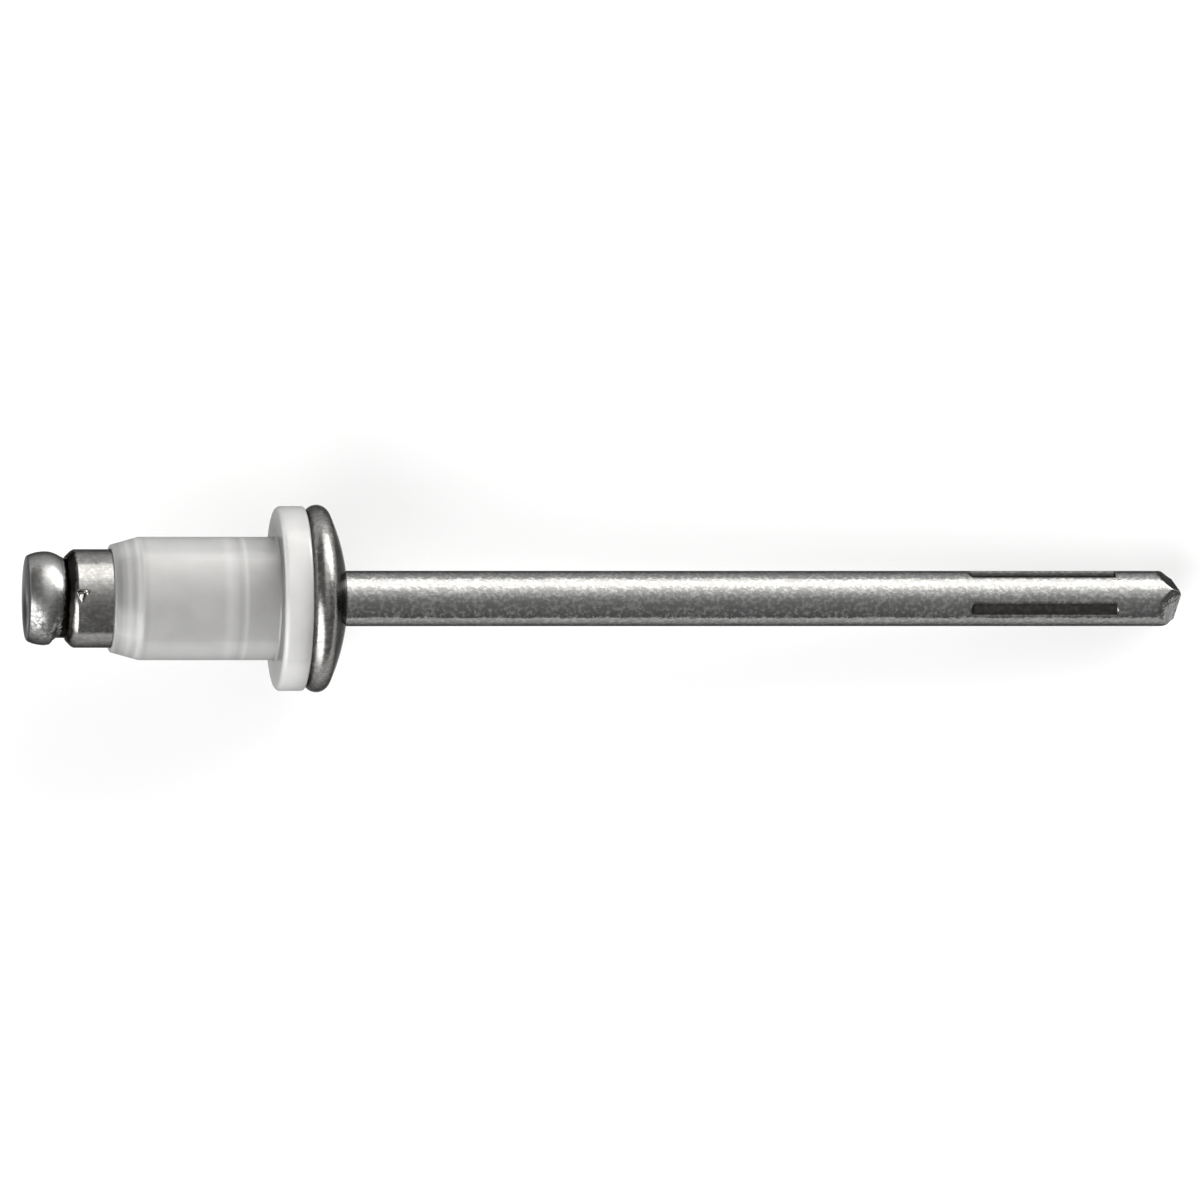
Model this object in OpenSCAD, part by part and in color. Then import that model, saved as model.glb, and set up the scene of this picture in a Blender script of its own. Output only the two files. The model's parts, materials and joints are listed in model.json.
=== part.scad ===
// Insulated blind rivet, not yet set, lying on its side.
// Three pieces: a metal shell with a domed head, a plastic sleeve pushed over it up to
// the head, and the steel mandrel that is pulled through both to set the rivet.
// Every piece is drawn on the rivet's own axis: z = 0 is the underside of the domed
// head, +z runs along the mandrel to its tip and -z to the blind end.
// lie_down() then rests the rivet on its head's rim and on the mandrel's tip.

/* [Rivet shell] */
// Diameter of the shell
shell_d = 3.2; // [3:0.1:3.4]
// Length of the shell below its head
shell_l = 7.8; // [7.4:0.1:10]
// Diameter of the flat on the shell's tail end
tail_d = 2.66; // [2.5:0.02:2.8]
// Length of the taper at the shell's tail end
tail_l = 0.2; // [0.1:0.05:0.4]
// Diameter of the domed head
dome_d = 6.1; // [5.8:0.1:6.6]
// Radius of the domed head's round rim
rim_r = 0.35; // [0.25:0.05:0.45]
// Radius of the domed head's crown
crown_r = 6.4; // [5:0.1:9]
// Size of the small cone between the shell and the underside of its head
root_size = 0.08; // [0.04:0.01:0.1]

/* [Insulating sleeve] */
// Outside diameter of the sleeve
sleeve_d = 4; // [3.8:0.1:4.4]
// Length of the sleeve with its flange
sleeve_l = 6.4; // [5.5:0.1:7]
// Length of the taper at the sleeve's nose
nose_l = 0.93; // [0.6:0.01:1.5]
// Diameter of the sleeve at the end of its nose
nose_d = 3.5; // [3.46:0.02:3.7]
// Diameter of the sleeve's flange
flange_d = 6; // [5.4:0.1:6.4]
// Thickness of the sleeve's flange
flange_t = 0.93; // [0.7:0.01:1.2]
// Radius on the edges of the flange
flange_edge_r = 0.08; // [0.04:0.01:0.2]
// Depth of the wider bore at the flange end
relief_l = 2; // [1:0.1:3]
// Length of the tight bore at the nose
land_l = 0.54; // [0.3:0.01:1]

/* [Mandrel] */
// Diameter of the mandrel
mandrel_d = 1.8; // [1.7:0.05:1.9]
// Length of the mandrel from its blind end to its tip
mandrel_l = 37.94; // [36:0.01:42]
// Largest diameter of the mandrel's head
mandrel_head_d = 3.1; // [2.9:0.05:3.1]
// Length of the mandrel's head
mandrel_head_l = 1.3; // [1:0.05:1.6]
// Diameter of the mandrel head's end face
mandrel_face_d = 2.84; // [2.6:0.02:2.88]
// Height of the crown on the mandrel head's end face
mandrel_face_rise = 0.05; // [0.02:0.01:0.1]
// Diameter of the mandrel head where it meets the shell
mandrel_seat_d = 2.66; // [2.4:0.02:2.8]
// Depth of the notch where the mandrel breaks when the rivet is set
notch_depth = 0.22; // [0.1:0.02:0.35]
// Length of that notch
notch_l = 0.5; // [0.3:0.05:0.8]
// Distance of that notch from the mandrel's head
notch_back = 0.8; // [0.5:0.05:1.5]
// Distance of the grip grooves from the mandrel's tip
groove_back = 2.24; // [1.5:0.01:4]
// Length of the grip grooves
groove_l = 4.84; // [3:0.01:8]
// Width of the grip grooves
groove_w = 0.46; // [0.3:0.01:0.6]
// Depth of the grip grooves
groove_depth = 0.09; // [0.07:0.01:0.12]
// Length of the run-out at the inner end of each grip groove
groove_ramp = 0.3; // [0.1:0.05:0.8]
// Length of the flats pinched into the mandrel's tip
pinch_l = 0.79; // [0.6:0.01:1]
// Slope of those flats in degrees
pinch_slope = 24; // [16:1:30]
// Slant of the torn end of the tip in degrees
tip_slant = 10; // [0:1:15]
// Turn of the grooves and flats about the mandrel in degrees
grip_turn = -24; // [-40:1:-5]

/* [Fits] */
// Clearance on each side between the mandrel and the shell's bore
bore_gap = 0.05; // [0.03:0.01:0.08]
// Clearance on each side between the sleeve and the shell
sleeve_gap = 0.04; // [0.03:0.01:0.06]
// Clearance on each side between the sleeve's tight bore and the shell
land_gap = 0.015; // [0.01:0.005:0.025]
// Clearance on each side in the wider bore at the flange end
relief_gap = 0.14; // [0.12:0.01:0.2]

/* [Hidden] */
$fn = 96;

shell_r = shell_d / 2;
bore_r = mandrel_d / 2 + bore_gap;
dome_r = dome_d / 2;
sleeve_r = sleeve_d / 2;
flange_r = flange_d / 2;
mandrel_r = mandrel_d / 2;
mandrel_head_r = mandrel_head_d / 2;

// The crown's circle touches the rim's circle from outside, so the two run into each
// other. Its centre lies on the axis at crown_z, and joint_angle points from there to
// the place where they meet.
crown_z = rim_r - sqrt(pow(crown_r - rim_r, 2) - pow(dome_r - rim_r, 2));
joint_angle = atan2(dome_r - rim_r, rim_r - crown_z);

// The blind end of the mandrel, where its head starts, and the tip.
head_start = -shell_l;
blind_end = head_start - mandrel_head_l;
tip_end = blind_end + mandrel_l;
// The head is widest at just over half its length from the shell, and its end face has
// a small broken edge.
belly_share = 0.45;
shoulder_share = 0.12;
face_edge_l = 0.1;
face_edge_r = 0.07;

// The sphere of the end face's crown.
face_ball_r = (pow(mandrel_face_d / 2, 2) + pow(mandrel_face_rise, 2)) / (2 * mandrel_face_rise);

// A grip groove is cut by a round bar that lies along the mandrel. Its radius and its
// distance from the axis give the groove its width and its depth.
groove_half = groove_w / 2;
groove_chord = sqrt(pow(mandrel_r, 2) - pow(groove_half, 2));
groove_sink = groove_depth - (mandrel_r - groove_chord);
groove_bar_r = (pow(groove_half, 2) + pow(groove_sink, 2)) / (2 * groove_sink);
groove_bar_at = mandrel_r - groove_depth + groove_bar_r;
groove_end = tip_end - groove_back;
groove_start = groove_end - groove_l;
grip_count = 4;

pinch_start = tip_end - pinch_l;
// Extra length that lets a cutter reach past what it cuts.
over = 1;

// At rest the rim's lowest point and the tip's lowest point are level. The tip touches
// where the nearest pinched flat cuts the mandrel's lowest line.
touch_z = pinch_start + mandrel_r * (1 - cos(grip_turn)) / tan(pinch_slope);
touch_run = touch_z - rim_r;
touch_drop = dome_r - rim_r - mandrel_r;
rest_tilt = atan2(touch_drop, touch_run) + asin(rim_r / norm([touch_drop, touch_run]));
rest_lift = (dome_r - rim_r) * cos(rest_tilt) + rim_r * (1 + sin(rest_tilt));
// The lying rivet's ends along x, and the shift that centres it.
lying_low = blind_end * cos(rest_tilt) - mandrel_face_d / 2 * sin(rest_tilt);
lying_high = tip_end * cos(rest_tilt) + mandrel_r * sin(rest_tilt);
rest_shift = -(lying_low + lying_high) / 2;

// Lays a piece down: the mandrel's tip to +x, the blind end raised by rest_tilt.
module lie_down()
{
    translate([rest_shift, 0, rest_lift])
        rotate([0, 90 + rest_tilt, 0])
            children();
}

// Places a child at each of the grip positions. An angle of 0 faces up when lying, and
// a positive one turns towards +y.
module at_grips()
{
    for (i = [0 : grip_count - 1])
        rotate([0, 0, 180 - grip_turn - i * 360 / grip_count])
            children();
}

// Half section of the shell's domed head, as radius and height.
module dome_section()
{
    rim_at = dome_r - rim_r;
    top = crown_z + crown_r;
    translate([rim_at, rim_r])
        circle(r = rim_r);
    intersection()
    {
        translate([0, crown_z])
            circle(r = crown_r);
        polygon([
            [bore_r, 0],
            [rim_at, 0],
            [rim_at, rim_r],
            [rim_at + over * sin(joint_angle), rim_r + over * cos(joint_angle)],
            [bore_r, top + over]
        ]);
    }
}

// Half section of the shell's tube, with its tapered tail and the cone at its root.
module shell_section()
{
    polygon([
        [bore_r, head_start],
        [tail_d / 2, head_start],
        [shell_r, head_start + tail_l],
        [shell_r, -root_size],
        [shell_r + root_size, 0],
        [shell_r + root_size, rim_r],
        [bore_r, rim_r]
    ]);
}

module rivet_body()
{
    color("#9a9a98")
        lie_down()
            rotate_extrude()
                union()
                {
                    shell_section();
                    dome_section();
                }
}

// Half section of the sleeve's flange with its rounded edges.
module flange_section()
{
    inner = shell_r + relief_gap;
    edge_at = flange_r - flange_edge_r;
    translate([inner, -flange_t])
        square([edge_at - inner, flange_t]);
    translate([inner, flange_edge_r - flange_t])
        square([flange_r - inner, flange_t - 2 * flange_edge_r]);
    translate([edge_at, -flange_edge_r])
        circle(r = flange_edge_r);
    translate([edge_at, flange_edge_r - flange_t])
        circle(r = flange_edge_r);
}

// Half section of the sleeve's tube, with its tapered nose and its stepped bore.
module sleeve_section()
{
    land_start = land_l - sleeve_l;
    polygon([
        [shell_r + land_gap, -sleeve_l],
        [nose_d / 2, -sleeve_l],
        [sleeve_r, nose_l - sleeve_l],
        [sleeve_r, -flange_t / 2],
        [shell_r + relief_gap, -flange_t / 2],
        [shell_r + relief_gap, -relief_l],
        [shell_r + sleeve_gap, -relief_l],
        [shell_r + sleeve_gap, land_start],
        [shell_r + land_gap, land_start]
    ]);
}

module insulating_sleeve()
{
    color("#d8d9d4")
        lie_down()
            rotate_extrude()
                union()
                {
                    sleeve_section();
                    flange_section();
                }
}

// Half section of the mandrel: head, notched neck and plain shank.
module mandrel_section()
{
    notch_mid = head_start + notch_back;
    intersection()
    {
        polygon([
            [0, blind_end],
            [mandrel_face_d / 2 - face_edge_r, blind_end],
            [mandrel_face_d / 2 + face_edge_r / 2, blind_end + face_edge_l],
            [mandrel_head_r, head_start - mandrel_head_l * belly_share],
            [mandrel_seat_d / 2, head_start - mandrel_head_l * shoulder_share],
            [mandrel_seat_d / 2, head_start],
            [mandrel_r, head_start],
            [mandrel_r, notch_mid - notch_l / 2],
            [mandrel_r - notch_depth, notch_mid],
            [mandrel_r, notch_mid + notch_l / 2],
            [mandrel_r, tip_end],
            [0, tip_end]
        ]);
        union()
        {
            translate([0, blind_end + face_ball_r])
                circle(r = face_ball_r);
            translate([0, head_start])
                square([mandrel_head_r, mandrel_l]);
        }
    }
}

// Cuts one grip groove along the mandrel, with a run-out at its inner end.
module groove_cut()
{
    translate([groove_bar_at, 0, 0])
        rotate_extrude()
            polygon([
                [0, groove_start],
                [groove_bar_r - groove_depth, groove_start],
                [groove_bar_r, groove_start + groove_ramp],
                [groove_bar_r, groove_end],
                [0, groove_end]
            ]);
}

// Cuts one pinched flat at the mandrel's tip.
module pinch_cut()
{
    translate([mandrel_r, 0, pinch_start])
        rotate([0, -pinch_slope, 0])
            translate([0, -mandrel_r, -over / 2])
                cube([mandrel_d, mandrel_d, pinch_l + 2 * over]);
}

// Cuts the slanted, torn end of the tip. Its highest edge lies towards +y.
module slant_cut()
{
    translate([0, mandrel_r, tip_end])
        rotate([tip_slant, 0, 0])
            translate([-mandrel_d, -2 * mandrel_d, 0])
                cube([2 * mandrel_d, 3 * mandrel_d, mandrel_d]);
}

module mandrel()
{
    color("#8c8c8a")
        lie_down()
            difference()
            {
                rotate_extrude()
                    mandrel_section();
                at_grips()
                    groove_cut();
                at_grips()
                    pinch_cut();
                slant_cut();
            }
}

mandrel();
rivet_body();
insulating_sleeve();
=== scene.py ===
# An insulated blind rivet, not yet set, lying on a pale floor: a metal shell with a
# domed head, a milky plastic sleeve with a flange, and a steel mandrel through both.
import json
import math

import bpy
from mathutils import Matrix, Vector


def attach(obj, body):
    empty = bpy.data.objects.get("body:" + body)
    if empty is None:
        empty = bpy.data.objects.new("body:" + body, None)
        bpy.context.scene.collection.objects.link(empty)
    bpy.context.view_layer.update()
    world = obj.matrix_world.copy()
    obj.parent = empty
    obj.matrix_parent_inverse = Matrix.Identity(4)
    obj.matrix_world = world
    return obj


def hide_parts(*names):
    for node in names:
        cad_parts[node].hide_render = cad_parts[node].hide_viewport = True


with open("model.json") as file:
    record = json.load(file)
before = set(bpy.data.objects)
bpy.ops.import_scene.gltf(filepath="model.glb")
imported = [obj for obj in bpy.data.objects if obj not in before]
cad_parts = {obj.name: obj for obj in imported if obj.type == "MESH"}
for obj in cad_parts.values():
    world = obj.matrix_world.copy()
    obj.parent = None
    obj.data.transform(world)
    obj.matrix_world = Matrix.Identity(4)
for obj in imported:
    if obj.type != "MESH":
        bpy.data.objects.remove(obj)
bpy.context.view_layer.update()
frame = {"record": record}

MM = 0.001

# Where the rivet's own axis lies, from the part's mounts. A place on the rivet is given
# in millimetres: z along the axis from the underside of the domed head, towards the
# mandrel's tip, and a radius and an angle round the axis. An angle of 0 faces up and a
# positive one turns towards +Y.
mounts = {m["name"]: m for m in frame["record"]["mounts"]}
AXIS = Vector(mounts["mandrel_shank"]["axis"]).normalized()
SIDE = Vector((0, 1, 0))
UP = AXIS.cross(SIDE)
FLANGE_T = 0.93
on_axis = Vector(mounts["mandrel_shank"]["pos_m"])
flange_face = Vector(mounts["sheet_seat"]["pos_m"])
SEAT = on_axis + AXIS * ((flange_face - on_axis).dot(AXIS) + FLANGE_T * MM)

# A length too short to matter and a radius beyond any piece, in millimetres.
NEAR = 0.001
FAR = 99.0

# Sizes of the real pieces, in millimetres.
SLEEVE_R = mounts["sleeve_shank"]["dims"]["r_mm"]
MANDREL_R = mounts["mandrel_shank"]["dims"]["r_mm"]
SHELL_R = 1.6
SHELL_L = 7.8
TAIL_R = 1.30
BORE_R = 0.95
DOME_R = 3.046
RIM_R = 0.41
CROWN_R = 6.7
SLEEVE_L = 6.33
NOSE_L = 0.93
NOSE_R = 1.74
FLANGE_R = 3.0
BLIND_END = -9.1
TIP_END = 28.748
HEAD_R = 1.55
GROOVE_START = 21.72
GROOVE_END = 26.6
GROOVE_W = 0.50
GROOVE_DEPTH = 0.09
GROOVE_RAMP = 0.2
# A small chip in the edge where a groove ends: its share of the depth and its length.
GROOVE_CHIP = 0.16
CHIP_L = 0.09
GRIP_TURN = -24
GRIPS = [math.radians(GRIP_TURN + 90 * i) for i in range(4)]
PINCH_START = 28.05


def place(z, r, angle):
    """The world point at a place on the rivet."""
    out = UP * math.cos(angle) + SIDE * math.sin(angle)
    return SEAT + (AXIS * z + out * r) * MM


def smooth(t):
    """Eases from 0 to 1 as t goes from 0 to 1."""
    t = min(max(t, 0.0), 1.0)
    return t * t * (3 - 2 * t)


def apart(a, b):
    """The angle between two directions round the axis, from -pi to pi."""
    return (a - b + math.pi) % (2 * math.pi) - math.pi


def outline(corners, step, closed=False):
    """A smooth outline through corners given as (z, r, rounding). Each corner with a
    rounding becomes an arc, and straight stretches are cut into steps."""
    count = len(corners)
    points = []
    for i, (z, r, rounding) in enumerate(corners):
        here = Vector((z, r))
        inner = closed or 0 < i < count - 1
        if not rounding or not inner:
            points.append(here)
            continue
        before = Vector(corners[i - 1][:2])
        after = Vector(corners[(i + 1) % count][:2])
        u = (before - here).normalized()
        v = (after - here).normalized()
        half = u.angle(v) / 2
        reach = rounding / math.tan(half)
        centre = here + (u + v).normalized() * (rounding / math.sin(half))
        a = here + u * reach - centre
        b = here + v * reach - centre
        turn = math.atan2(a.x * b.y - a.y * b.x, a.dot(b))
        parts = max(2, round(abs(turn) / 0.2))
        for k in range(parts + 1):
            points.append(centre + Matrix.Rotation(turn * k / parts, 2) @ a)
    full = []
    last = len(points) if closed else len(points) - 1
    for i in range(last):
        a = points[i]
        b = points[(i + 1) % len(points)]
        cuts = max(1, math.ceil((b - a).length / step(a, b)))
        full += [a.lerp(b, k / cuts) for k in range(cuts)]
    if not closed:
        full.append(points[-1])
    return [(p.x, p.y) for p in full]


def turned(name, profile, around, shape, closed):
    """A turned piece: profile is swept round the axis, and shape(z, r, angle) may move
    each point. An open profile starts and ends on the axis."""
    verts = []
    faces = []
    rings = []
    for z, r in profile:
        if r < 1e-6:
            rings.append([len(verts)])
            z2, r2 = shape(z, 0.0, 0.0)
            verts.append(place(z2, r2, 0.0))
            continue
        ring = []
        for i in range(around):
            angle = 2 * math.pi * i / around
            z2, r2 = shape(z, r, angle)
            ring.append(len(verts))
            verts.append(place(z2, r2, angle))
        rings.append(ring)
    pairs = list(zip(rings, rings[1:]))
    if closed:
        pairs.append((rings[-1], rings[0]))
    for a, b in pairs:
        for i in range(around):
            j = (i + 1) % around
            if len(a) == 1:
                faces.append((a[0], b[j], b[i]))
            elif len(b) == 1:
                faces.append((a[i], a[j], b[0]))
            else:
                faces.append((a[i], a[j], b[j], b[i]))
    mesh = bpy.data.meshes.new(name)
    mesh.from_pydata(verts, [], faces)
    mesh.validate()
    mesh.polygons.foreach_set("use_smooth", [True] * len(mesh.polygons))
    mesh.update()
    piece = bpy.data.objects.new(name, mesh)
    bpy.context.collection.objects.link(piece)
    return piece


# Mandrel

# A grip groove is cut by a round bar that lies along the mandrel. Its radius and its
# distance from the axis give the groove its width and its depth.
BAR_CHORD = math.sqrt(MANDREL_R ** 2 - (GROOVE_W / 2) ** 2)
BAR_SINK = GROOVE_DEPTH - (MANDREL_R - BAR_CHORD)
BAR_R = ((GROOVE_W / 2) ** 2 + BAR_SINK ** 2) / (2 * BAR_SINK)
BAR_AT = MANDREL_R - GROOVE_DEPTH + BAR_R
# How far each of the four pinched flats starts from PINCH_START, and its slope in degrees.
PINCHES = [(-0.09, 25.0), (-0.08, 27.0), (0.02, 29.0), (0.0, 28.0)]
# How much a pinched flat bulges, and how round its edges are.
PINCH_BULGE = 0.05
PINCH_EDGE = 0.02
# The torn end is highest a little to the +Y side, and slants away on both sides of that.
# The slant sets in over SLANT_L.
TIP_PEAK = 0.12
SLANT_BELOW = math.tan(math.radians(14))
SLANT_ABOVE = math.tan(math.radians(19))
SLANT_L = 0.7
# The head's side is a barrel, widest at BARREL_Z, that bends in more towards the shell.
BARREL_Z = -8.44
BARREL_BENDS = (0.36, 0.66)
BARREL_STEPS = 14
# The head's end face is slightly domed, with a shallow dent. FACE_FLAT_R is how far its
# rings go, FACE_SPAN is the radius at which it has dropped by FACE_BULGE, and FACE_EDGE
# rounds its edge at FACE_R.
FACE_R = 1.40
FACE_FLAT_R = 1.34
FACE_BULGE = 0.05
FACE_SPAN = 1.42
FACE_EDGE = 0.06
FACE_STEPS = 12
DENT_R = 0.62
DENT_DEPTH = 0.07
DENT_UP = 0.05
DENT_SIDE = -0.42
# The head meets the shell with a rim of SEAT_R. Within NECK_L of the shell its neck is
# drawn in to NECK_R on one side, given as an angle round the axis.
SEAT_R = 1.27
NECK_R = 1.28
NECK_DEPTH = 0.255
NECK_L = 0.62
DRAWN_IN = math.radians(-100)
# The notch where the mandrel breaks: its distance from the shell's tail, half its length
# and its depth.
NOTCH_Z = 0.8
NOTCH_HALF = 0.25
NOTCH_DEPTH = 0.22


def groove_radius(z, angle):
    """The mandrel's radius in a grip groove, or FAR away from one."""
    if z < GROOVE_START or z > GROOVE_END + CHIP_L:
        return FAR
    rise = 1 - smooth((z - GROOVE_START) / GROOVE_RAMP)
    if z > GROOVE_END + NEAR:
        rise = 1 - GROOVE_CHIP * (GROOVE_END + CHIP_L - z) / CHIP_L
    bar = BAR_R - GROOVE_DEPTH * rise
    least = FAR
    for grip in GRIPS:
        off = apart(angle, grip)
        if abs(off) > 1:
            continue
        under = bar ** 2 - (BAR_AT * math.sin(off)) ** 2
        if under > 0:
            least = min(least, BAR_AT * math.cos(off) - math.sqrt(under))
    return least


def soft_min(a, b, width):
    """The smaller of two values, with a rounded change from one to the other."""
    h = max(width - abs(a - b), 0.0) / width
    return min(a, b) - h * h * width / 4


def head_shape(z, r, angle):
    """The head isn't headed quite true: it is drawn in on one side of its neck, is a
    little out of round and has a dent in its end face."""
    back = z + SHELL_L
    if r > 1.2 and back > -NECK_L:
        side = smooth(1.1 * math.cos(angle - DRAWN_IN) - 0.1)
        deep = NECK_R + NECK_DEPTH * (1 - smooth((back + 0.55) / 0.28))
        r = r * (1 - side) + min(r, deep) * side
    if r > 1.36 and back < -0.1:
        r += 0.012 * math.cos(angle - 0.6) + 0.01 * math.cos(2 * angle + 0.4) - 0.016
    if z < BLIND_END + 0.2:
        high = r * math.cos(angle) - DENT_UP
        wide = r * math.sin(angle) - DENT_SIDE
        z += DENT_DEPTH * math.exp(-(high * high + wide * wide) / DENT_R ** 2)
        z += 0.008
    return z, r


def mandrel_shape(z, r, angle):
    """The head's uneven shape, the grip grooves and the pinched and torn tip."""
    if z < -SHELL_L + NEAR:
        return head_shape(z, r, angle)
    groove = groove_radius(z, angle)
    if groove < FAR:
        r = soft_min(r, groove, 0.012)
    past = z - PINCH_START
    if past < -0.12:
        return z, r
    for grip, (start, slope) in zip(GRIPS, PINCHES):
        off = apart(angle, grip)
        if abs(off) > 1.3:
            continue
        run = past - start
        flat = MANDREL_R - run * math.tan(math.radians(slope)) - PINCH_BULGE * max(run, 0) ** 2
        r = soft_min(r, max(flat, 0.0) / math.cos(off), PINCH_EDGE)
    off_peak = r * math.sin(angle) - TIP_PEAK
    slant = max(-off_peak, 0) * SLANT_BELOW + max(off_peak, 0) * SLANT_ABOVE
    return z - smooth(past / SLANT_L) * slant, r


def mandrel_step(a, b):
    """Short rings where the mandrel changes shape and long ones along its plain stretch."""
    z = (a.x + b.x) / 2
    if abs(a.x - b.x) < 1e-6:
        return 0.07
    if z < -SHELL_L:
        return 0.03
    if z > PINCH_START - 0.2:
        return 0.035
    return 0.4


def mandrel_corners():
    """The mandrel's outline from the middle of the head's face to the middle of the tip."""
    corners = [(BLIND_END, 0, 0)]
    for k in range(1, FACE_STEPS):
        r = FACE_FLAT_R * k / FACE_STEPS
        corners.append((BLIND_END + FACE_BULGE * (r / FACE_SPAN) ** 2, r, 0))
    corners.append((BLIND_END + FACE_BULGE, FACE_R, FACE_EDGE))
    barrel_from = BLIND_END + 0.12
    barrel_to = -SHELL_L - 0.04
    for k in range(BARREL_STEPS + 1):
        z = barrel_from + (barrel_to - barrel_from) * k / BARREL_STEPS
        bend = BARREL_BENDS[0] if z < BARREL_Z else BARREL_BENDS[1]
        corners.append((z, HEAD_R - bend * (z - BARREL_Z) ** 2, 0))
    corners += [
        (-SHELL_L - 0.01, SEAT_R, 0.01),
        (-SHELL_L - 0.01, MANDREL_R, 0),
        (-SHELL_L + NOTCH_Z - NOTCH_HALF, MANDREL_R, 0),
        (-SHELL_L + NOTCH_Z, MANDREL_R - NOTCH_DEPTH, 0.05),
        (-SHELL_L + NOTCH_Z + NOTCH_HALF, MANDREL_R, 0),
        (GROOVE_START - 0.1, MANDREL_R, 0),
    ]
    # Rings close together where a groove starts, and at its end wall and its chip.
    rings = [GROOVE_START + GROOVE_RAMP * k / 15 for k in range(1, 16)]
    rings += [GROOVE_END + past for past in (-0.01, 0, 0.004, 0.014, 0.05, CHIP_L, CHIP_L + 0.02)]
    rings.append(PINCH_START - 0.2)
    corners += [(z, MANDREL_R, 0) for z in rings]
    return corners + [(TIP_END, MANDREL_R, 0.1), (TIP_END, 0, 0)]


mandrel_line = outline(mandrel_corners(), mandrel_step)
mandrel = turned("mandrel_piece", mandrel_line, 192, mandrel_shape, False)
mandrel.data.set_sharp_from_angle(angle=math.radians(50))

# Shell

CROWN_Z = RIM_R - math.sqrt((CROWN_R - RIM_R) ** 2 - (DOME_R - RIM_R) ** 2)
# Nicks by the shell's tail. Each: where it is along the axis and round it in degrees, half
# its length and width, and its depth.
NICKS = [(-7.39, 1.4, 0.16, 0.20, 0.15), (-7.20, 6.0, 0.07, 0.07, 0.05)]
# How unevenly the shell's tail end is cut.
TAIL_WAVES = [(3, 1.0, 0.014), (7, 0.0, 0.012), (17, 2.0, 0.008), (29, 0.5, 0.006)]


def shell_shape(z, r, angle):
    """The nicks in the shell's wall and its uneven tail end."""
    if z < -SHELL_L + 0.9 and r > 1.2:
        for nick_z, turn, length, width, depth in NICKS:
            across = apart(angle, math.radians(turn)) * SHELL_R / width
            if abs(across) > 1.2:
                continue
            # A wedge: it slopes in from its pointed lower end to a steep upper end.
            sloped = min(max(across + 1, 0) / 2, 1)
            steep = 1 - smooth((across - 0.85) / 0.3)
            edge = 0.1 + 0.9 * sloped - abs(z - nick_z) / length
            r -= depth * sloped * steep * smooth(edge / 0.2)
        wave = sum(size * math.sin(turns * angle + start) for turns, start, size in TAIL_WAVES)
        near_end = smooth((-SHELL_L + 0.3 - z) / 0.3)
        z += wave * near_end
        if r < SHELL_R - 0.02:
            r += wave * 0.6 * near_end
    return z, r


def shell_step(a, b):
    """Short rings at the tail and the dome and long ones along the plain tube."""
    z = (a.x + b.x) / 2
    r = (a.y + b.y) / 2
    if r < 1.1:
        return 1.0
    if z < -SHELL_L + 0.8:
        return 0.03
    return 0.1 if z > -0.1 else 0.5


def shell_corners():
    """The shell's closed outline, from its bore at the tail round the dome."""
    corners = [
        (-SHELL_L, BORE_R, 0.04),
        (-SHELL_L, TAIL_R, 0.02),
        (-SHELL_L + 0.04, 1.39, 0.08),
        (-SHELL_L + 0.20, 1.55, 0.1),
        (-SHELL_L + 0.30, SHELL_R, 0.1),
        (-SHELL_L + 0.70, SHELL_R, 0),
        (-0.08, SHELL_R, 0),
        (0, SHELL_R + 0.08, 0),
        (0, DOME_R - RIM_R, 0),
    ]
    crown_start = math.atan2(DOME_R - RIM_R, RIM_R - CROWN_Z)
    crown_end = math.asin(BORE_R / CROWN_R)
    for k in range(1, 15):
        a = (math.pi - crown_start) * k / 15
        corners.append((RIM_R - RIM_R * math.cos(a), DOME_R - RIM_R + RIM_R * math.sin(a), 0))
    for k in range(41):
        a = crown_start + (crown_end - crown_start) * k / 40
        corners.append((CROWN_Z + CROWN_R * math.cos(a), CROWN_R * math.sin(a), 0))
    corners.append((CROWN_Z + CROWN_R * math.cos(crown_end) - 0.05, BORE_R, 0))
    return corners


shell_line = outline(shell_corners(), shell_step, True)
shell = turned("shell_piece", shell_line, 288, shell_shape, True)

# Sleeve

# Its clearance on the shell at the nose, along the bore and in the wider bore that starts
# RELIEF_L from the flange, and the length of the tight bore at the nose.
LAND_GAP = 0.015
SLEEVE_GAP = 0.04
RELIEF_GAP = 0.14
RELIEF_L = 2.0
LAND_L = 0.54
sleeve_corners = [
    (-SLEEVE_L, SHELL_R + LAND_GAP, 0.03),
    (-SLEEVE_L, NOSE_R, 0.07),
    (-SLEEVE_L + NOSE_L, SLEEVE_R, 0.3),
    (-FLANGE_T, SLEEVE_R, 0.08),
    (-FLANGE_T, FLANGE_R, 0.16),
    (0, FLANGE_R, 0.1),
    (0, SHELL_R + RELIEF_GAP, 0.02),
    (-RELIEF_L, SHELL_R + RELIEF_GAP, 0.02),
    (-RELIEF_L, SHELL_R + SLEEVE_GAP, 0.02),
    (-SLEEVE_L + LAND_L + 0.02, SHELL_R + SLEEVE_GAP, 0),
    (-SLEEVE_L + LAND_L - 0.02, SHELL_R + LAND_GAP, 0),
]
sleeve_line = outline(sleeve_corners, lambda a, b: 0.25, True)
sleeve = turned("sleeve_piece", sleeve_line, 160, lambda z, r, angle: (z, r), True)


# Materials


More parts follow.
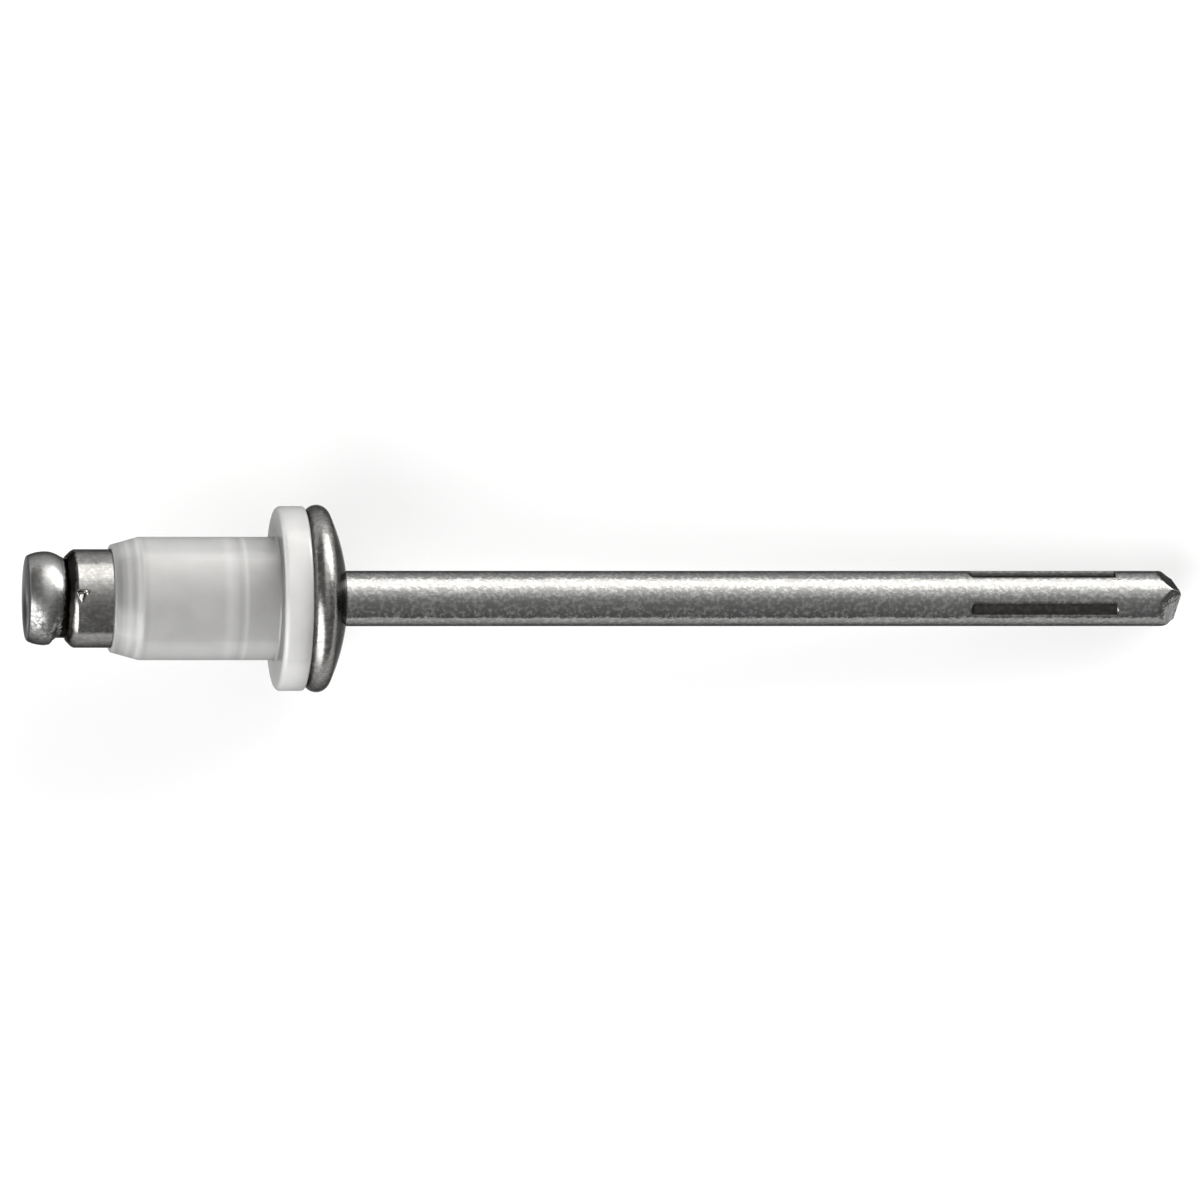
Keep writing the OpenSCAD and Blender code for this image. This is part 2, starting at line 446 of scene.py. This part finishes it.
class Nodes:
    """Short calls for building a node tree. A value is a number, a tuple or the output of
    another node."""

    def __init__(self, owner):
        owner.use_nodes = True
        self.tree = owner.node_tree
        self.shader = self.tree.nodes.get("Principled BSDF")

    def add(self, kind, **settings):
        node = self.tree.nodes.new(kind)
        for key, setting in settings.items():
            setattr(node, key, setting)
        return node

    def feed(self, socket, value):
        """Gives a socket its value or joins another node's output to it."""
        if isinstance(value, bpy.types.NodeSocket):
            self.tree.links.new(value, socket)
        else:
            socket.default_value = value

    def set(self, **values):
        """Sets the shader's own sockets, named with _ for each space."""
        for key, value in values.items():
            self.feed(self.shader.inputs[key.replace("_", " ")], value)

    def math(self, operation, *values):
        node = self.add("ShaderNodeMath", operation=operation)
        for socket, value in zip(node.inputs, values):
            self.feed(socket, value)
        return node.outputs["Value"]

    def vector(self, operation, *values):
        node = self.add("ShaderNodeVectorMath", operation=operation)
        for socket, value in zip(node.inputs, values):
            self.feed(socket, value)
        return node

    def sum(self, a, b, weight):
        """a plus weight times b."""
        return self.math("MULTIPLY_ADD", b, weight, a)

    def product(self, a, b):
        return self.math("MULTIPLY", a, b)

    def spread(self, value, low, high, new_low, new_high, easing="LINEAR"):
        """Maps a value's range low to high onto new_low to new_high."""
        node = self.add("ShaderNodeMapRange", interpolation_type=easing)
        for key, end in (
            ("Value", value),
            ("From Min", low),
            ("From Max", high),
            ("To Min", new_low),
            ("To Max", new_high),
        ):
            self.feed(node.inputs[key], end)
        return node.outputs["Result"]

    def mixed(self, factor, first, second, blend="MIX"):
        """A colour between two, or the second one blended onto the first."""
        node = self.add("ShaderNodeMix", data_type="RGBA", blend_type=blend)
        for key, value in (("Factor", factor), ("A", first), ("B", second)):
            self.feed(node.inputs[key], value)
        return node.outputs["Result"]

    def split(self, vector):
        """A vector's X, Y and Z."""
        node = self.add("ShaderNodeSeparateXYZ")
        self.feed(node.inputs["Vector"], vector)
        return node.outputs

    def noise(self, vector, scale, detail=2.0, rough=0.5):
        node = self.add("ShaderNodeTexNoise")
        for key, value in (
            ("Vector", vector),
            ("Scale", scale),
            ("Detail", detail),
            ("Roughness", rough),
        ):
            self.feed(node.inputs[key], value)
        return node.outputs["Fac"]

    def rivet_space(self):
        """Coordinates in millimetres along the rivet's own axis, across it and up."""
        out = self.add("ShaderNodeVectorRotate", rotation_type="Y_AXIS")
        self.feed(out.inputs["Vector"], self.add("ShaderNodeTexCoord").outputs["Object"])
        self.feed(out.inputs["Angle"], math.asin(AXIS.z))
        self.feed(out.inputs["Center"], SEAT)
        scale = self.vector("SCALE", out.outputs["Vector"])
        self.feed(scale.inputs["Scale"], 1 / MM)
        return scale.outputs["Vector"]

    def stretched(self, space, along, across):
        """The coordinates scaled along the axis and across it."""
        return self.vector("MULTIPLY", space, (along, across, across)).outputs["Vector"]

    def along(self, space):
        """How far a point is along the axis, in millimetres from the shell's seat."""
        return self.math("SUBTRACT", self.split(space)["X"], SEAT.x / MM)

    def sideways(self, space):
        """How far a point is to the +Y side of the axis, in millimetres."""
        return self.split(space)["Y"]

    def distance(self, z, middle):
        """How far z is from the middle, either way."""
        return self.math("ABSOLUTE", self.math("SUBTRACT", z, middle))

    def radius(self, space):
        """How far a point is from the rivet's axis, in millimetres."""
        off = self.vector("SUBTRACT", space, SEAT / MM).outputs["Vector"]
        return self.vector("LENGTH", self.stretched(off, 0.0, 1.0)).outputs["Value"]

    def distance_to(self, space, spot):
        """How far a point is from a spot given as z, side and up."""
        return self.vector("DISTANCE", space, SEAT / MM + Vector(spot)).outputs["Value"]

    def bump(self, height, depth_mm):
        node = self.add("ShaderNodeBump")
        self.feed(node.inputs["Distance"], depth_mm * MM)
        self.feed(node.inputs["Strength"], 1.0)
        self.feed(node.inputs["Height"], height)
        self.set(Normal=node.outputs["Normal"])

    def skin(self, share):
        """A thin dull skin that lets a share of the light through, and less at a slant."""
        self.set(Coat_Weight=1.0, Coat_IOR=SKIN_IOR, Coat_Roughness=0.1)
        self.set(Coat_Tint=(share, share, share, 1))


SKIN_IOR = 1.02
# The dark colour of dirt in the grip grooves, of painted shade at the seam and in the head's
# end-face dent, and of a speckled darker patch on the head.
GRIME_AND_SHADE = (0.03, 0.026, 0.022, 1)
# Where the dark band painted round the seam between head and shell is, painted shade in the gap
# there, and how much it slants to the +Y side.
SEAM_Z = -7.76
SEAM_SLANT = -0.05
GRIP_MIDDLE = (GROOVE_START + GROOVE_END) / 2
GRIP_HALF = (GROOVE_END - GROOVE_START) / 2


def metal(name, dark, light, polish, satin, relief, speckle_from, skin, painted_shade_and_spots=(), worn=None):
    """Bright metal between a dark and a light tone. polish is its least and most
    roughness, and satin what is added to that: from a place along the axis, before it and
    after it. relief is the depth of its marks, and from speckle_from on it has the full
    speckle of drawn wire. skin is how much light its dull skin lets through. A dark band is
    painted round the seam between head and shell, painted shade in the gap there. stains
    lists darker spots, painted shade among them: the place of each as z, side and up, its
    radius, its strength and whether it is speckled. With stains, the grip grooves get dirt,
    painted a little lighter on the +Y side, where the broad light comes from. worn is where
    along the axis the skin starts to wear off and where it is nearly gone."""
    material = bpy.data.materials.new(name)
    n = Nodes(material)
    space = n.rivet_space()
    z = n.along(space)
    grain = n.noise(space, 7.5, 1.5, 0.6)
    pits = n.noise(space, 4.0, 4.0, 0.7)
    lines = n.noise(n.stretched(space, 0.12, 4.0), 4.0)
    cloud = n.noise(space, 1.6, 3.0, 0.6)
    drawn = n.spread(z, speckle_from - 0.1, speckle_from + 0.1, 0.3, 1.0)
    flecks = n.product(n.spread(grain, 0.44, 0.68, -0.4, 0.6), drawn)
    tone = n.sum(n.sum(flecks, n.sum(cloud, lines, 1.0), 0.5), pits, 0.5)
    clean = n.mixed(n.spread(tone, 0.35, 1.15, 0, 1), (*dark, 1), (*light, 1))
    # Painted shade: a dark band round the seam between head and shell stands for the shade in the
    # gap there.
    slanted = n.sum(z, n.sideways(space), SEAM_SLANT)
    seam = n.sum(n.distance(slanted, SEAM_Z), pits, 0.2)
    grime_and_shade = n.spread(seam, 0.24, 0.32, 0.95, 0)
    if painted_shade_and_spots:
        # Dirt in the grip grooves, painted a little lighter on the +Y side, where the broad light
        # comes from.
        depth = n.sum(n.radius(space), pits, 0.03)
        sunk = n.spread(depth, MANDREL_R - 0.02, MANDREL_R, 0.9, 0)
        gripped = n.spread(n.distance(z, GRIP_MIDDLE), GRIP_HALF, GRIP_HALF + 0.01, 1, 0)
        facing = n.spread(n.sideways(space), 0.3, 0.7, 1, 0.8)
        grime_and_shade = n.sum(grime_and_shade, n.product(n.product(sunk, gripped), facing), 1.0)
    # Darker spots, painted shade in the head's end-face dent among them.
    for where, radius, amount, speckled in painted_shade_and_spots:
        far = n.sum(n.distance_to(space, where), pits, 0.7)
        painted_shade_and_spot = n.spread(far, radius * 0.9, radius * 1.5, amount, 0)
        if speckled:
            painted_shade_and_spot = n.product(painted_shade_and_spot, n.spread(grain, 0.42, 0.56, 0, 1))
        grime_and_shade = n.sum(grime_and_shade, painted_shade_and_spot, 1.0)
    shine = n.spread(n.sum(cloud, pits, 0.5), 0.55, 0.95, *polish)
    satin_from, before, after = satin
    dull = n.spread(z, satin_from, satin_from + 0.1, before, after)
    rough = n.sum(n.sum(n.sum(shine, grime_and_shade, 0.3), dull, 1.0), flecks, 0.1)
    n.set(Base_Color=n.mixed(grime_and_shade, clean, GRIME_AND_SHADE), Roughness=rough, Metallic=1.0)
    n.set(Specular_Tint=(0.15, 0.15, 0.15, 1))
    marks = n.product(n.sum(grain, pits, 0.5), drawn)
    n.bump(n.sum(marks, lines, 0.15), relief)
    n.skin(skin)
    if worn:
        n.set(Coat_Weight=n.spread(z, *worn, 1, 0.1))
    return material


MILK_SKIN = 0.8
MILK_DARK = (0.58, 0.575, 0.565, 1)
MILK_LIGHT = (0.65, 0.644, 0.632, 1)
# The next two are painted colours for the rings in the plastic: painted highlight and glow, and
# painted shade.
MILK_PAINTED_LIGHT = (0.99, 0.985, 0.97, 1)
MILK_PAINTED_SHADE = (0.40, 0.40, 0.393, 1)
# Each painted ring in the plastic, of painted highlight, painted shade and painted glow: where it
# is along the axis, its half width, how strong it is and its colour.
PAINTED_RINGS = [
    (-6.30, 0.07, 0.8, MILK_PAINTED_LIGHT),
    (-6.14, 0.13, 0.75, MILK_PAINTED_SHADE),
    (-5.86, 0.12, 0.6, MILK_PAINTED_LIGHT),
    (-5.70, 0.08, 0.5, MILK_PAINTED_SHADE),
    (-5.54, 0.10, 1.0, MILK_PAINTED_LIGHT),
    (-5.30, 0.14, 0.45, MILK_PAINTED_SHADE),
    (-2.60, 0.25, 0.3, MILK_PAINTED_LIGHT),
    (-2.25, 0.14, 0.45, MILK_PAINTED_SHADE),
    (-2.05, 0.11, 0.5, MILK_PAINTED_LIGHT),
    (-0.40, 0.80, 0.3, MILK_PAINTED_LIGHT),
]


def plastic(name):
    """Milky plastic, with rings of painted highlight and painted shade where the steps of its
    bore show through and the edges of its nose catch the light, and a painted glow of light
    through the flange.
    """
    material = bpy.data.materials.new(name)
    n = Nodes(material)
    space = n.rivet_space()
    z = n.along(space)
    colour = n.mixed(n.spread(n.noise(space, 1.2), 0.3, 0.7, 0, 1), MILK_DARK, MILK_LIGHT)
    # Painted highlights, painted shade and painted glow, laid on as rings round the plastic.
    for ring_z, half_width, amount, painted_colour in PAINTED_RINGS:
        ring = n.spread(n.distance(z, ring_z), half_width, 0, 0, amount, "SMOOTHSTEP")
        colour = n.mixed(ring, colour, painted_colour)
    n.set(Base_Color=colour, Roughness=0.28, IOR=1.5, Specular_IOR_Level=0.8)
    n.set(Subsurface_Weight=1.0, Subsurface_Scale=0.0021, Subsurface_Anisotropy=0.8)
    n.set(Subsurface_Radius=(1, 1, 1), Transmission_Weight=0.12)
    n.skin(MILK_SKIN)
    return material


steel = metal(
    "drawn_steel",
    dark=(0.60, 0.598, 0.59),
    light=(0.88, 0.877, 0.863),
    polish=(0.16, 0.2),
    satin=(-7.9, 0.12, 0.0),
    relief=0.010,
    speckle_from=0.0,
    skin=0.52,
    painted_shade_and_spots=[
        # Painted shade in and round the dent in the head's end face.
        ((BLIND_END, DENT_SIDE - 0.1, DENT_UP), 1.1, 0.8, False),
        # A speckled darker patch on the head, near its neck.
        ((-8.2, -0.7, 1.25), 0.95, 0.6, True),
    ],
)
aluminium = metal(
    "formed_aluminium",
    dark=(0.30, 0.295, 0.286),
    light=(0.66, 0.65, 0.628),
    polish=(0.12, 0.24),
    satin=(0.0, 0.0, 0.1),
    relief=0.01,
    speckle_from=FAR,
    skin=0.65,
    worn=(1.15, 1.36),
)

for piece, node, slot, material in (
    (mandrel, "mandrel", "mandrel", steel),
    (shell, "rivet_body", "shell", aluminium),
    (sleeve, "insulating_sleeve", "sleeve", plastic("milky_plastic")),
):
    piece.data.materials.append(material)
    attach(piece, "root")
    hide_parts(node)

# Floor

FLOOR_R = 3.0
FLOOR_GREY = (0.5, 0.5, 0.5, 1)
# How much is added to the floor where it is seen, also in metal and plastic, so that it
# looks white and keeps the shadow.
FLOOR_WHITE = 0.5
turns = [math.tau * i / 64 for i in range(64)]
floor_mesh = bpy.data.meshes.new("floor")
rim = [(FLOOR_R * math.cos(a), FLOOR_R * math.sin(a), 0) for a in turns]
floor_mesh.from_pydata(rim, [], [tuple(range(len(rim)))])
floor = bpy.data.objects.new("floor", floor_mesh)
bpy.context.collection.objects.link(floor)

paper = bpy.data.materials.new("pale_floor")
n = Nodes(paper)
rays = n.add("ShaderNodeLightPath").outputs
seen = n.math("MAXIMUM", rays["Is Camera Ray"], rays["Is Glossy Ray"])
shown = n.math("MAXIMUM", seen, rays["Is Transmission Ray"])
n.set(Base_Color=FLOOR_GREY, Roughness=1.0, Specular_IOR_Level=0.0)
n.set(Emission_Color=(1, 1, 1, 1), Emission_Strength=n.product(shown, FLOOR_WHITE))
floor_mesh.materials.append(paper)

# Light: a broad soft light from the +Y side, a smaller one low beyond each end of the
# rivet, and a dim room. SKY holds the broad light's and the room's brightness by height
# above the +Y horizon in degrees, over the top to the -Y horizon.
SKY = [
    (0, 2.9),
    (12, 3.3),
    (24, 3.5),
    (36, 3.0),
    (46, 2.0),
    (56, 1.4),
    (72, 0.85),
    (88, 0.52),
    (105, 0.36),
    (135, 0.28),
    (180, 0.2),
]
SKY_MOST = 3.5
# The broad light's tint, up to a height in degrees.
SKY_WARM = (1.0, 0.99, 0.965)
WARM_TO = 50
ROOM = 0.2
# Towards the two ends the broad light fades to the room: its middle as a direction's X,
# and how far from that the fading starts and ends.
BROAD_X = 0.25
BROAD_FADE = (0.2, 0.42)
# Each end light: the direction it comes from, its brightness, and the cosines of the
# angles at which it ends and at which it is full.
END_LIGHTS = [
    ((-0.64, -0.66, 0.40), 4.1, 0.74, 0.88),
    ((0.68, 0.70, 0.18), 6.5, 0.86, 0.95),
]

world = bpy.data.worlds.new("studio")
bpy.context.scene.world = world
n = Nodes(world)
direction = n.add("ShaderNodeTexCoord").outputs["Generated"]
parts = n.split(direction)
height = n.math("ARCTAN2", parts["Z"], parts["Y"])
ramp = n.add("ShaderNodeValToRGB")
n.feed(ramp.inputs["Fac"], n.math("DIVIDE", height, math.pi))
stops = ramp.color_ramp.elements
while len(stops) < len(SKY):
    stops.new(0.5)
for stop, (degrees, level) in zip(stops, SKY):
    tint = SKY_WARM if degrees < WARM_TO else (1, 1, 1)
    stop.position = degrees / 180
    stop.color = [level / SKY_MOST * share for share in tint] + [1]
aside = n.distance(parts["X"], BROAD_X)
fade = n.spread(aside, *BROAD_FADE, 0, 1, "SMOOTHSTEP")
sky = n.mixed(fade, ramp.outputs["Color"], (ROOM / SKY_MOST,) * 3 + (1,))
for towards, level, ends, full in END_LIGHTS:
    facing = n.vector("DOT_PRODUCT", direction, Vector(towards).normalized()).outputs["Value"]
    spot = n.spread(facing, ends, full, 0, level / SKY_MOST, "SMOOTHSTEP")
    sky = n.mixed(1.0, sky, spot, "ADD")
background = n.tree.nodes["Background"]
n.feed(background.inputs["Color"], sky)
n.feed(background.inputs["Strength"], SKY_MOST)

# Camera: nearly straight down, leaning towards the blind end, with +X to the right. The
# frame is FRAME_PX pixels and FRAME_W millimetres wide. SEAT_PX is where the underside of
# the domed head is from its left, and AXIS_PX where the rivet's axis is from its top.

FRAME_W = 39.0
FRAME_PX = 1200
SEAT_PX = 304
AXIS_PX = 598.5
VIEW_LEAN = math.radians(3.4)
CAMERA_AWAY = 0.65
SENSOR_MM = 36
slope = math.asin(-AXIS.z)
pixel = FRAME_W / FRAME_PX
middle_z = (FRAME_PX / 2 - SEAT_PX) * pixel / math.cos(slope + VIEW_LEAN)
middle_side = (AXIS_PX - FRAME_PX / 2) * pixel
target = SEAT + (AXIS * middle_z + SIDE * middle_side) * MM
right = Vector((math.cos(VIEW_LEAN), 0, math.sin(VIEW_LEAN)))
back = right.cross(SIDE)
turn = Matrix((right, SIDE, back)).transposed().to_4x4()
camera_data = bpy.data.cameras.new("camera")
camera_data.sensor_width = SENSOR_MM
camera_data.lens = SENSOR_MM * CAMERA_AWAY / (FRAME_W * MM)
camera_data.clip_start = 0.01
camera_data.clip_end = 20
camera = bpy.data.objects.new("camera", camera_data)
bpy.context.collection.objects.link(camera)
camera.matrix_world = Matrix.Translation(target + back * CAMERA_AWAY) @ turn
bpy.context.scene.camera = camera

bpy.context.scene.view_settings.view_transform = "Standard"
